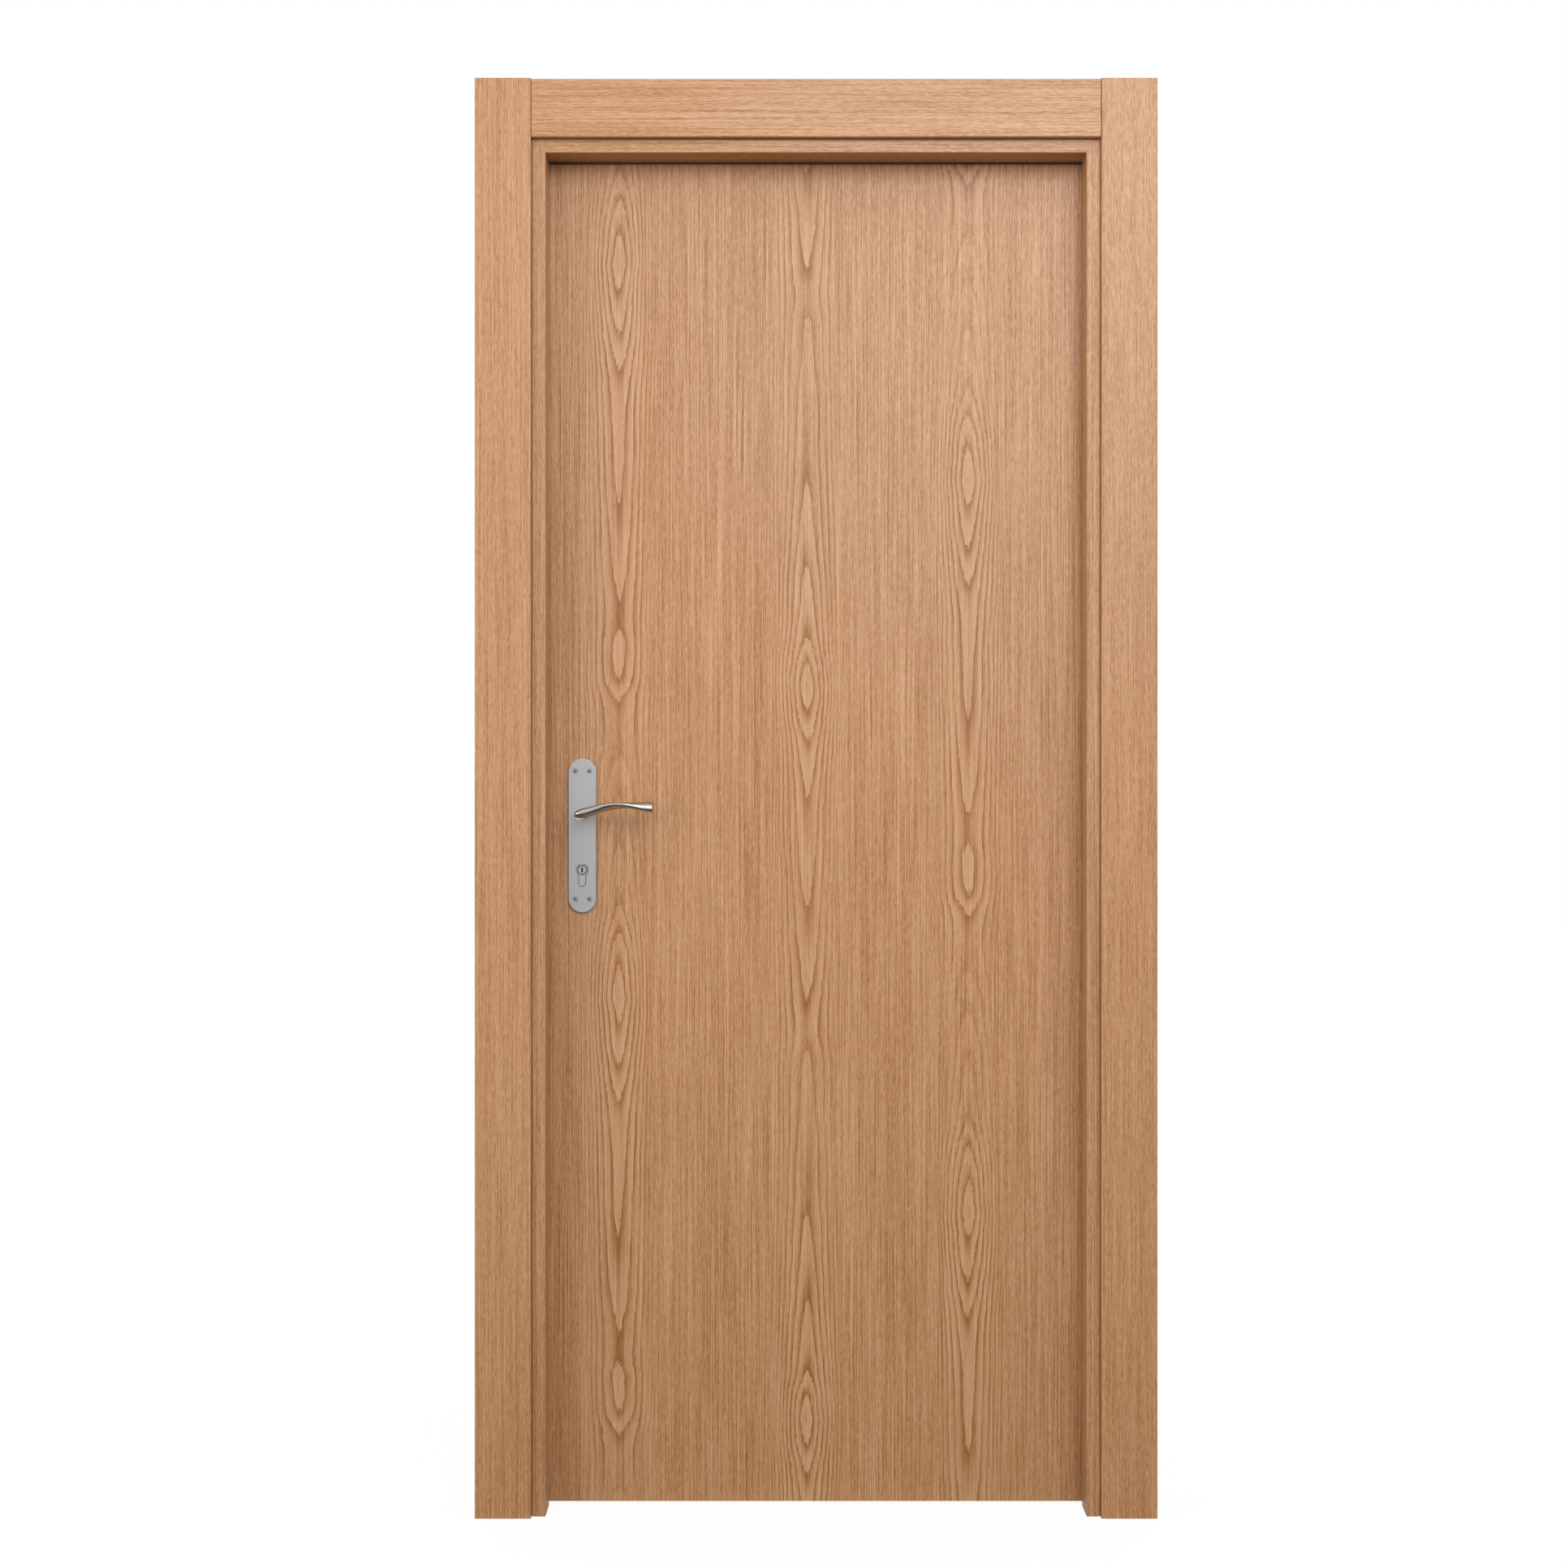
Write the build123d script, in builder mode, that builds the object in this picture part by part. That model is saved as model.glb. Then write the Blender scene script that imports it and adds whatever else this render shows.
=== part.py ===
from build123d import *

import os

# Flush veneered front door hung in a rebated timber frame, shut, in millimetres.
# The origin lies on the hinge jamb's wall face, at floor level, midway through the frame.
# +X points out of that face into the wall, +Y from outdoors to indoors and +Z up.

# Leaf
leaf_width = 825.0
leaf_height = 2030.0
leaf_thickness = 40.0
floor_gap = 5.0
skin_thickness = 3.5
lipping_thickness = 8.0
rail_height = 80.0
leading_bevel = 1.5

# Frame
jamb_thickness = 40.0
stop_depth = 50.0
stop_overlap = 10.0
head_overlap = 6.5
side_gap = 5.0
seal_space = 5.0
arris_radius = 1.5

# Architraves
architrave_width = 83.5
head_architrave_width = 86.5
architrave_thickness = 10.0
architrave_radius = 2.0
outer_reveal = 20.5
inner_reveal = 11.0
architrave_horn = 1.1
architrave_joint = 0.8
quirk_width = 1.2
quirk_depth = 3.0

# Seal round the stop
seal_width = 5.0
seal_setback = 3.0
head_seal_drop = 2.2
seal_touch = 0.3

# Hinges
hinge_height = 100.0
hinge_plate_width = 30.0
hinge_plate_thickness = 3.0
hinge_throw = 8.0
hinge_end_distance = 220.0
hinge_pin_radius = 3.0
hinge_pin_length = 40.0
hinge_pin_end_space = 2.0
hinge_running_clearance = 0.1
knuckle_gap = 0.5
finial_radius = 1.5
hinge_screw_radius = 2.2
hinge_screw_head_radius = 4.0
hinge_screw_pitch = 64.0
hinge_screw_inset = 15.0

# Lock
backset = 60.0
spindle_height = 1044.5
cylinder_pitch = 85.0
lock_case_height = 165.0
lock_case_thickness = 15.0
lock_case_back = 28.0
lock_case_top = 46.0
lock_clearance = 0.5
forend_width = 20.0
forend_height = 235.0
forend_thickness = 3.0
forend_top = 80.0
forend_screw_inset = 10.0
latch_thickness = 11.0
latch_height = 32.0
latch_above_spindle = 16.0
dead_bolt_thickness = 13.0
dead_bolt_height = 36.0
dead_bolt_above_cylinder = 30.0
bolt_length = 45.0
bolt_clearance = 0.3

# Strike plate in the lock jamb
strike_height = 200.0
strike_width = 26.0
strike_thickness = 2.0
strike_slot_clearance = 1.5
strike_screw_inset = 12.0
keep_depth = 13.0

# Lever furniture
plate_width = 42.0
plate_height = 233.0
plate_thickness = 4.0
plate_top = 83.5
plate_edge = 0.8
screw_spacing = 21.3
screw_pitch = 193.6
screw_top = 64.1
screw_radius = 2.2
screw_head_radius = 4.0
screw_sink_angle = 90.0
neck_radius = 8.5
neck_clearance = 0.3
spindle_side = 8.0
spindle_socket = 22.0
spindle_clearance = 0.1
spindle_hole_radius = 10.0

# Cylinder of the lock
cylinder_radius = 8.5
cylinder_web = 10.0
cylinder_height = 33.0
cylinder_stand = 1.0
cylinder_clearance = 0.9
plug_radius = 6.5
plug_length = 12.0
plug_clearance = 0.3
plug_stand = 0.4
plug_edge = 0.5
keyway_width = 2.4
keyway_height = 8.0
keyway_depth = 4.0

# Lever arm, station by station: its distance from the spindle, its rise above the spindle, how far
# it stands off the leaf, its half depth, its half height and how far its back leans up, in degrees
neck_length = 46.0
arm_stations = [
    (-7.5, -1.0, 46.5, 5.0, 3.2, -8.0),
    (0.0, 0.8, 46.5, 9.0, 6.8, -8.0),
    (14.0, 3.6, 46.5, 10.0, 7.3, -14.0),
    (33.0, 9.0, 47.0, 9.6, 5.8, -22.0),
    (52.0, 12.2, 47.3, 9.2, 4.5, -20.0),
    (71.0, 13.2, 46.5, 8.9, 4.6, -4.0),
    (90.0, 11.9, 45.0, 8.8, 5.8, 22.0),
    (104.0, 10.7, 43.6, 9.2, 6.9, 35.0),
    (108.6, 10.3, 43.1, 8.5, 6.3, 38.5),
    (110.0, 10.2, 43.0, 7.0, 5.0, 39.5),
]

# Planes through the depth
frame_depth = stop_depth + seal_space + leaf_thickness
front_y = -frame_depth / 2
back_y = frame_depth / 2
stop_back_y = front_y + stop_depth
leaf_front_y = back_y - leaf_thickness
leaf_mid_y = back_y - leaf_thickness / 2

# Lines across the width
rebate_width = stop_overlap + side_gap
hinge_stop_x = -jamb_thickness
hinge_rebate_x = hinge_stop_x + rebate_width
leaf_hinge_x = hinge_rebate_x - side_gap
leaf_lock_x = leaf_hinge_x - leaf_width
lock_rebate_x = leaf_lock_x - side_gap
lock_stop_x = lock_rebate_x + rebate_width
lock_wall_x = lock_stop_x - jamb_thickness
centre_x = lock_wall_x / 2
lever_x = leaf_lock_x + backset

# Levels
leaf_top_z = floor_gap + leaf_height
head_stop_z = leaf_top_z - head_overlap
head_rebate_z = head_stop_z + rebate_width
head_wall_z = head_stop_z + jamb_thickness
cylinder_z = spindle_height - cylinder_pitch
latch_z = spindle_height + latch_above_spindle
dead_bolt_z = cylinder_z + dead_bolt_above_cylinder

# Bolts: level, thickness and height
bolts = {
    "latch_bolt": (latch_z, latch_thickness, latch_height),
    "dead_bolt": (dead_bolt_z, dead_bolt_thickness, dead_bolt_height),
}

# Hinge axis, midway across the side gap and a throw behind the leaf
hinge_axis_x = (hinge_rebate_x + leaf_hinge_x) / 2
hinge_axis_y = back_y + hinge_throw
barrel_radius = side_gap / 2 + hinge_plate_thickness
hinge_levels = {
    "bottom": floor_gap + hinge_end_distance,
    "middle": floor_gap + leaf_height / 2,
    "top": leaf_top_z - hinge_end_distance,
}

LOW = (Align.MIN, Align.MIN, Align.MIN)


def finish(piece, name):
    """Label a finished piece and write it to its file."""
    piece.part.label = name
    export_step(piece.part, f"parts/{name}.step")


def outdoor_plane(y):
    """Plane across the door at a depth, facing outdoors, with X to the right and Z up."""
    return Plane.XZ.offset(-y)


def block(low, high, mode=Mode.ADD):
    """Straight-sided block between two corners."""
    with Locations(low):
        Box(*(b - a for a, b in zip(low, high)), align=LOW, mode=mode)


def rebated_section(wall, stop, rebate):
    """Corners of a frame member's section, with a quirk beside each architrave: across, then deep."""
    wallward = 1 if wall > stop else -1
    outer_edge = stop + wallward * outer_reveal
    outer_quirk = outer_edge - wallward * quirk_width
    inner_edge = rebate + wallward * inner_reveal
    inner_quirk = inner_edge - wallward * quirk_width
    return [
        (wall, front_y),
        (outer_edge, front_y),
        (outer_edge, front_y + quirk_depth),
        (outer_quirk, front_y + quirk_depth),
        (outer_quirk, front_y),
        (stop, front_y),
        (stop, stop_back_y),
        (rebate, stop_back_y),
        (rebate, back_y),
        (inner_quirk, back_y),
        (inner_quirk, back_y - quirk_depth),
        (inner_edge, back_y - quirk_depth),
        (inner_edge, back_y),
        (wall, back_y),
    ]


def cylinder_outline(clearance):
    """Profile cylinder's outline in the sketch at hand: a round over a web with a round foot."""
    foot = cylinder_radius - cylinder_height + cylinder_web / 2
    with Locations((lever_x, cylinder_z)):
        Circle(cylinder_radius + clearance)
        Rectangle(cylinder_web + 2 * clearance, -foot, align=(Align.CENTER, Align.MAX))
    with Locations((lever_x, cylinder_z + foot)):
        Circle(cylinder_web / 2 + clearance)


os.makedirs("parts", exist_ok=True)

# Frame members, mitred where head and jambs meet
hinge_mitre = Plane((0, 0, head_wall_z), x_dir=(0, 1, 0), z_dir=(1, 0, -1))
lock_mitre = Plane((lock_wall_x, 0, head_wall_z), x_dir=(0, 1, 0), z_dir=(-1, 0, -1))

with BuildPart() as hinge_jamb:
    with BuildSketch():
        with BuildLine():
            Polyline(rebated_section(0, hinge_stop_x, hinge_rebate_x), close=True)
        make_face()
        fillet(vertices().group_by(Axis.X)[0].sort_by(Axis.Y)[0], arris_radius)
    extrude(amount=head_wall_z)
    split(bisect_by=hinge_mitre, keep=Keep.TOP)
    for level in hinge_levels.values():
        block(
            (hinge_rebate_x, back_y - hinge_plate_width, level - hinge_height / 2),
            (hinge_rebate_x + hinge_plate_thickness, back_y, level + hinge_height / 2),
            Mode.SUBTRACT,
        )
finish(hinge_jamb, "hinge_jamb")

strike_middle_z = (latch_z + dead_bolt_z) / 2

with BuildPart() as lock_jamb:
    with BuildSketch():
        with BuildLine():
            Polyline(rebated_section(lock_wall_x, lock_stop_x, lock_rebate_x), close=True)
        make_face()
        fillet(vertices().group_by(Axis.X)[-1].sort_by(Axis.Y)[0], arris_radius)
    extrude(amount=head_wall_z)
    split(bisect_by=lock_mitre, keep=Keep.TOP)
    block(
        (lock_rebate_x - strike_thickness, leaf_mid_y - strike_width / 2,
         strike_middle_z - strike_height / 2),
        (lock_rebate_x, leaf_mid_y + strike_width / 2, strike_middle_z + strike_height / 2),
        Mode.SUBTRACT,
    )
    for level, bolt_thickness, bolt_height in bolts.values():
        half_width = bolt_thickness / 2 + strike_slot_clearance
        half_height = bolt_height / 2 + strike_slot_clearance
        block(
            (lock_rebate_x - strike_thickness - keep_depth, leaf_mid_y - half_width, level - half_height),
            (lock_rebate_x, leaf_mid_y + half_width, level + half_height),
            Mode.SUBTRACT,
        )
finish(lock_jamb, "lock_jamb")

with BuildPart() as head_jamb:
    with BuildSketch(Plane.YZ.offset(lock_wall_x)):
        with BuildLine():
            corners = rebated_section(head_wall_z, head_stop_z, head_rebate_z)
            Polyline([(depth, level) for level, depth in corners], close=True)
        make_face()
        fillet(vertices().group_by(Axis.Z)[0].sort_by(Axis.Y)[0], arris_radius)
    extrude(amount=-lock_wall_x)
    split(bisect_by=hinge_mitre, keep=Keep.BOTTOM)
    split(bisect_by=lock_mitre, keep=Keep.BOTTOM)
finish(head_jamb, "head_jamb")

# Architraves: the side pieces run to the top and the head piece is cut square between them.
# Each side: its lowest Y, the edges that its reveals start from, the reveal and the place of its
# shown face in order of Y
architrave_sides = {
    "outer": (front_y - architrave_thickness, hinge_stop_x, head_stop_z, outer_reveal, 0),
    "inner": (back_y, hinge_rebate_x, head_rebate_z, inner_reveal, -1),
}
for side, (near_y, opening_x, opening_z, reveal, shown) in architrave_sides.items():
    edge_x = opening_x + reveal
    edge_z = opening_z + reveal
    top_z = edge_z + head_architrave_width

    with BuildPart() as hinge_architrave:
        block(
            (edge_x, near_y, 0),
            (edge_x + architrave_width, near_y + architrave_thickness, top_z + architrave_horn),
        )
        shown_face = hinge_architrave.faces().sort_by(Axis.Y)[shown]
        fillet(shown_face.edges().filter_by(Axis.Z), architrave_radius)
    finish(hinge_architrave, f"{side}_hinge_architrave")

    with BuildPart() as lock_architrave:
        mirror(hinge_architrave.part, about=Plane.YZ.offset(centre_x))
    finish(lock_architrave, f"{side}_lock_architrave")

    with BuildPart() as head_architrave:
        block(
            (2 * centre_x - edge_x + architrave_joint, near_y, edge_z),
            (edge_x - architrave_joint, near_y + architrave_thickness, top_z),
        )
        shown_face = head_architrave.faces().sort_by(Axis.Y)[shown]
        fillet(shown_face.edges().filter_by(Axis.X), architrave_radius)
    finish(head_architrave, f"{side}_head_architrave")

# Seals on the back of the stop, a touch away from the leaf; the head's hangs below its stop
seal_back_y = leaf_front_y - seal_touch

with BuildPart() as hinge_seal:
    block(
        (hinge_stop_x + seal_setback, stop_back_y, 0),
        (hinge_stop_x + seal_setback + seal_width, seal_back_y, head_stop_z - head_seal_drop),
    )
finish(hinge_seal, "hinge_seal")

with BuildPart() as lock_seal:
    mirror(hinge_seal.part, about=Plane.YZ.offset(centre_x))
finish(lock_seal, "lock_seal")

with BuildPart() as head_seal:
    block(
        (lock_stop_x - seal_setback - seal_width, stop_back_y, head_stop_z - head_seal_drop),
        (hinge_stop_x + seal_setback + seal_width, seal_back_y, head_stop_z + seal_width),
    )
finish(head_seal, "head_seal")

# Strike plate, flush in the lock jamb's rebate, slotted for the two bolts
with BuildPart() as strike_plate:
    with BuildSketch(Plane.YZ.offset(lock_rebate_x)):
        with Locations((leaf_mid_y, strike_middle_z)):
            Rectangle(strike_width, strike_height)
        for level, bolt_thickness, bolt_height in bolts.values():
            with Locations((leaf_mid_y, level)):
                Rectangle(
                    bolt_thickness + 2 * strike_slot_clearance,
                    bolt_height + 2 * strike_slot_clearance,
                    mode=Mode.SUBTRACT,
                )
    extrude(amount=-strike_thickness)
    strike_face = Plane((lock_rebate_x, leaf_mid_y, strike_middle_z), x_dir=(0, 1, 0), z_dir=(1, 0, 0))
    with Locations(strike_face):
        with GridLocations(1, strike_height - 2 * strike_screw_inset, 1, 2):
            CounterSinkHole(screw_radius, screw_head_radius, strike_thickness, screw_sink_angle)
finish(strike_plate, "strike_plate")

# Leaf: core between two rails, lippings on both long edges, and a veneered skin each side
core_low_y = leaf_front_y + skin_thickness
core_high_y = back_y - skin_thickness
core_lock_x = leaf_lock_x + lipping_thickness
core_hinge_x = leaf_hinge_x - lipping_thickness
forend_mid_z = spindle_height + forend_top - forend_height / 2
forend_face_x = leaf_lock_x + leading_bevel * (leaf_thickness + forend_width) / (2 * leaf_thickness)
forend_back_x = forend_face_x + forend_thickness
case_back_x = lever_x + lock_case_back
case_top_z = spindle_height + lock_case_top
case_low = (forend_back_x, leaf_mid_y - lock_case_thickness / 2, case_top_z - lock_case_height)
case_high = (case_back_x, leaf_mid_y + lock_case_thickness / 2, case_top_z)
mortise_low = (leaf_lock_x, case_low[1] - lock_clearance, case_low[2] - lock_clearance)
mortise_high = (case_back_x + lock_clearance, case_high[1] + lock_clearance, case_top_z + lock_clearance)

with BuildSketch(outdoor_plane(back_y)) as lock_holes:
    with Locations((lever_x, spindle_height)):
        Circle(spindle_hole_radius)
    cylinder_outline(cylinder_clearance)

with BuildPart() as core_board:
    block(
        (core_lock_x, core_low_y, floor_gap + rail_height),
        (core_hinge_x, core_high_y, leaf_top_z - rail_height),
    )
    block(mortise_low, mortise_high, Mode.SUBTRACT)
    extrude(lock_holes.sketch, amount=leaf_thickness, mode=Mode.SUBTRACT)
finish(core_board, "core_board")

for rail_name, rail_z in (("bottom_rail", floor_gap), ("top_rail", leaf_top_z - rail_height)):
    with BuildPart() as rail:
        block((core_lock_x, core_low_y, rail_z), (core_hinge_x, core_high_y, rail_z + rail_height))
    finish(rail, rail_name)

for skin_name, skin_y in (("outer_skin", leaf_front_y), ("inner_skin", core_high_y)):
    with BuildPart() as skin:
        block((core_lock_x, skin_y, floor_gap), (core_hinge_x, skin_y + skin_thickness, leaf_top_z))
        extrude(lock_holes.sketch, amount=leaf_thickness, mode=Mode.SUBTRACT)
    finish(skin, skin_name)

with BuildPart() as hinge_lipping:
    block((core_hinge_x, leaf_front_y, floor_gap), (leaf_hinge_x, back_y, leaf_top_z))
    for level in hinge_levels.values():
        block(
            (leaf_hinge_x - hinge_plate_thickness, back_y - hinge_plate_width, level - hinge_height / 2),
            (leaf_hinge_x, back_y, level + hinge_height / 2),
            Mode.SUBTRACT,
        )
finish(hinge_lipping, "hinge_lipping")

with BuildPart() as lock_lipping:
    with BuildSketch(Plane.XY.offset(floor_gap)):
        with BuildLine():
            Polyline(
                (core_lock_x, leaf_front_y),
                (leaf_lock_x + leading_bevel, leaf_front_y),
                (leaf_lock_x, back_y),
                (core_lock_x, back_y),
                close=True,
            )
        make_face()
    extrude(amount=leaf_height)
    block(
        (leaf_lock_x, leaf_mid_y - forend_width / 2, forend_mid_z - forend_height / 2),
        (forend_back_x, leaf_mid_y + forend_width / 2, forend_mid_z + forend_height / 2),
        Mode.SUBTRACT,
    )
    block(mortise_low, mortise_high, Mode.SUBTRACT)
finish(lock_lipping, "lock_lipping")

# Mortise lock: case behind its forend, with both bolts drawn back level with the forend
with BuildPart() as lock_case:
    block(case_low, case_high)
    extrude(lock_holes.sketch, amount=leaf_thickness, mode=Mode.SUBTRACT)
    for level, bolt_thickness, bolt_height in bolts.values():
        half_width = bolt_thickness / 2 + bolt_clearance
        half_height = bolt_height / 2 + bolt_clearance
        block(
            (forend_back_x, leaf_mid_y - half_width, level - half_height),
            (forend_face_x + bolt_length, leaf_mid_y + half_width, level + half_height),
            Mode.SUBTRACT,
        )
finish(lock_case, "lock_case")

with BuildPart() as forend:
    with BuildSketch(Plane.YZ.offset(forend_face_x)):
        with Locations((leaf_mid_y, forend_mid_z)):
            Rectangle(forend_width, forend_height)
        for level, bolt_thickness, bolt_height in bolts.values():
            with Locations((leaf_mid_y, level)):
                Rectangle(
                    bolt_thickness + 2 * bolt_clearance,
                    bolt_height + 2 * bolt_clearance,
                    mode=Mode.SUBTRACT,
                )
    extrude(amount=forend_thickness)
    forend_face = Plane((forend_face_x, leaf_mid_y, forend_mid_z), x_dir=(0, 1, 0), z_dir=(-1, 0, 0))
    with Locations(forend_face):
        with GridLocations(1, forend_height - 2 * forend_screw_inset, 1, 2):
            CounterSinkHole(screw_radius, screw_head_radius, forend_thickness, screw_sink_angle)
finish(forend, "forend")

for bolt_name, (level, bolt_thickness, bolt_height) in bolts.items():
    with BuildPart() as bolt:
        block(
            (forend_face_x, leaf_mid_y - bolt_thickness / 2, level - bolt_height / 2),
            (forend_face_x + bolt_length, leaf_mid_y + bolt_thickness / 2, level + bolt_height / 2),
        )
    finish(bolt, bolt_name)

# Profile cylinder through the leaf, with a key plug in each end
cylinder_front_y = leaf_front_y - plate_thickness - cylinder_stand
cylinder_back_y = back_y + plate_thickness + cylinder_stand

with BuildPart() as cylinder_body:
    with BuildSketch(outdoor_plane(cylinder_back_y)):
        cylinder_outline(0)
    extrude(amount=cylinder_back_y - cylinder_front_y)
    for mouth_y, into in ((cylinder_front_y, -plug_length), (cylinder_back_y, plug_length)):
        with BuildSketch(outdoor_plane(mouth_y)):
            with Locations((lever_x, cylinder_z)):
                Circle(plug_radius + plug_clearance)
        extrude(amount=into, mode=Mode.SUBTRACT)
        mouth = cylinder_body.edges().filter_by(GeomType.CIRCLE).filter_by(
            lambda edge: abs(edge.radius - plug_radius - plug_clearance) < 0.001
            and abs(edge.center().Y - mouth_y) < 0.001
        )
        chamfer(mouth, plug_edge)
finish(cylinder_body, "cylinder_body")

with BuildPart() as outer_plug:
    with BuildSketch(outdoor_plane(cylinder_front_y + plug_length)):
        with Locations((lever_x, cylinder_z)):
            Circle(plug_radius)
    extrude(amount=plug_length + plug_stand)
    chamfer(outer_plug.edges().sort_by(Axis.Y)[0], plug_edge)
    with BuildSketch(outdoor_plane(cylinder_front_y - plug_stand)):
        with Locations((lever_x, cylinder_z)):
            Rectangle(keyway_width, keyway_height)
    extrude(amount=-keyway_depth, mode=Mode.SUBTRACT)
finish(outer_plug, "outer_plug")

with BuildPart() as inner_plug:
    mirror(outer_plug.part, about=outdoor_plane(leaf_mid_y))
finish(inner_plug, "inner_plug")

# Long backplates, one each side of the leaf
plate_mid_z = spindle_height + plate_top - plate_height / 2
screw_middle = (lever_x, leaf_front_y - plate_thickness, spindle_height + screw_top - screw_pitch / 2)
screw_face = Plane(screw_middle, x_dir=(1, 0, 0), z_dir=(0, -1, 0))

with BuildPart() as outer_plate:
    with BuildSketch(outdoor_plane(leaf_front_y)):
        with Locations((lever_x, plate_mid_z)):
            SlotOverall(plate_height, plate_width, rotation=90)
        with Locations((lever_x, spindle_height)):
            Circle(neck_radius + neck_clearance, mode=Mode.SUBTRACT)
    extrude(amount=plate_thickness)
    fillet(outer_plate.faces().sort_by(Axis.Y)[0].outer_wire().edges(), plate_edge)
    with BuildSketch(outdoor_plane(leaf_front_y)):
        cylinder_outline(cylinder_clearance)
    extrude(amount=plate_thickness, mode=Mode.SUBTRACT)
    with Locations(screw_face):
        with GridLocations(screw_spacing, screw_pitch, 2, 2):
            CounterSinkHole(screw_radius, screw_head_radius, plate_thickness, screw_sink_angle)
finish(outer_plate, "outer_plate")

with BuildPart() as inner_plate:
    mirror(outer_plate.part, about=outdoor_plane(leaf_mid_y))
finish(inner_plate, "inner_plate")

# Levers: a tapering arm that twists as it runs out, lofted through its stations, on a round neck.
# Each station is an oval of four quarter arcs, whose ends the loft joins along the arm
socket_side = spindle_side + 2 * spindle_clearance

with BuildPart() as outer_lever:
    for along, rise, stand, half_depth, half_height, lean in arm_stations:
        station = Plane(
            (lever_x + along, leaf_front_y - stand, spindle_height + rise),
            x_dir=(0, 1, 0),
            z_dir=(1, 0, 0),
        )
        with BuildSketch(station):
            with BuildLine():
                for quarter in range(4):
                    EllipticalCenterArc(
                        (0, 0), half_depth, half_height, start_angle=90 * quarter, arc_size=90, rotation=lean
                    )
            make_face()
    loft()
    with BuildSketch(outdoor_plane(leaf_front_y)):
        with Locations((lever_x, spindle_height)):
            Circle(neck_radius)
    extrude(amount=neck_length)
    with BuildSketch(outdoor_plane(leaf_front_y)):
        with Locations((lever_x, spindle_height)):
            Rectangle(socket_side, socket_side)
    extrude(amount=spindle_socket, mode=Mode.SUBTRACT)
finish(outer_lever, "outer_lever")

with BuildPart() as inner_lever:
    mirror(outer_lever.part, about=outdoor_plane(leaf_mid_y))
finish(inner_lever, "inner_lever")

with BuildPart() as spindle:
    block(
        (lever_x - spindle_side / 2, leaf_front_y - spindle_socket, spindle_height - spindle_side / 2),
        (lever_x + spindle_side / 2, back_y + spindle_socket, spindle_height + spindle_side / 2),
    )
finish(spindle, "spindle")

# Lift-off hinges: the frame half carries the pin, and the leaf half drops over it
hinge_screw_y = back_y - hinge_screw_inset

for hinge_name, level in hinge_levels.items():
    low_z = level - hinge_height / 2
    high_z = level + hinge_height / 2

    with BuildPart() as frame_half:
        block(
            (hinge_rebate_x, back_y - hinge_plate_width, low_z),
            (hinge_rebate_x + hinge_plate_thickness, back_y, high_z),
        )
        block(
            (hinge_rebate_x, back_y, low_z),
            (hinge_rebate_x + hinge_plate_thickness, hinge_axis_y, level - knuckle_gap / 2),
        )
        with BuildSketch(Plane.XY.offset(low_z)):
            with Locations((hinge_axis_x, hinge_axis_y)):
                Circle(barrel_radius)
        extrude(amount=hinge_height / 2 - knuckle_gap / 2)
        fillet(frame_half.edges().filter_by(GeomType.CIRCLE).sort_by(Axis.Z)[0], finial_radius)
        with BuildSketch(Plane.XY.offset(level - knuckle_gap / 2)):
            with Locations((hinge_axis_x, hinge_axis_y)):
                Circle(hinge_pin_radius)
        extrude(amount=hinge_pin_length)
        with Locations(Plane((hinge_rebate_x, hinge_screw_y, level), x_dir=(0, 1, 0), z_dir=(-1, 0, 0))):
            with GridLocations(1, hinge_screw_pitch / 2, 1, 3):
                CounterSinkHole(
                    hinge_screw_radius, hinge_screw_head_radius, hinge_plate_thickness, screw_sink_angle
                )
    finish(frame_half, f"{hinge_name}_hinge_frame_half")

    with BuildPart() as leaf_half:
        block(
            (leaf_hinge_x - hinge_plate_thickness, back_y - hinge_plate_width, low_z),
            (leaf_hinge_x, back_y, high_z),
        )
        block(
            (leaf_hinge_x - hinge_plate_thickness, back_y, level + knuckle_gap / 2),
            (leaf_hinge_x, hinge_axis_y, high_z),
        )
        with BuildSketch(Plane.XY.offset(level + knuckle_gap / 2)):
            with Locations((hinge_axis_x, hinge_axis_y)):
                Circle(barrel_radius)
        extrude(amount=hinge_height / 2 - knuckle_gap / 2)
        fillet(leaf_half.edges().filter_by(GeomType.CIRCLE).sort_by(Axis.Z)[-1], finial_radius)
        with BuildSketch(Plane.XY.offset(level + knuckle_gap / 2)):
            with Locations((hinge_axis_x, hinge_axis_y)):
                Circle(hinge_pin_radius + hinge_running_clearance)
        extrude(amount=hinge_pin_length + hinge_pin_end_space, mode=Mode.SUBTRACT)
        with Locations(Plane((leaf_hinge_x, hinge_screw_y, level), x_dir=(0, 1, 0), z_dir=(1, 0, 0))):
            with GridLocations(1, hinge_screw_pitch / 2, 1, 3):
                CounterSinkHole(
                    hinge_screw_radius, hinge_screw_head_radius, hinge_plate_thickness, screw_sink_angle
                )
    finish(leaf_half, f"{hinge_name}_hinge_leaf_half")
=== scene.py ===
import math

import bmesh
import bpy
from mathutils import Matrix, Vector


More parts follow.
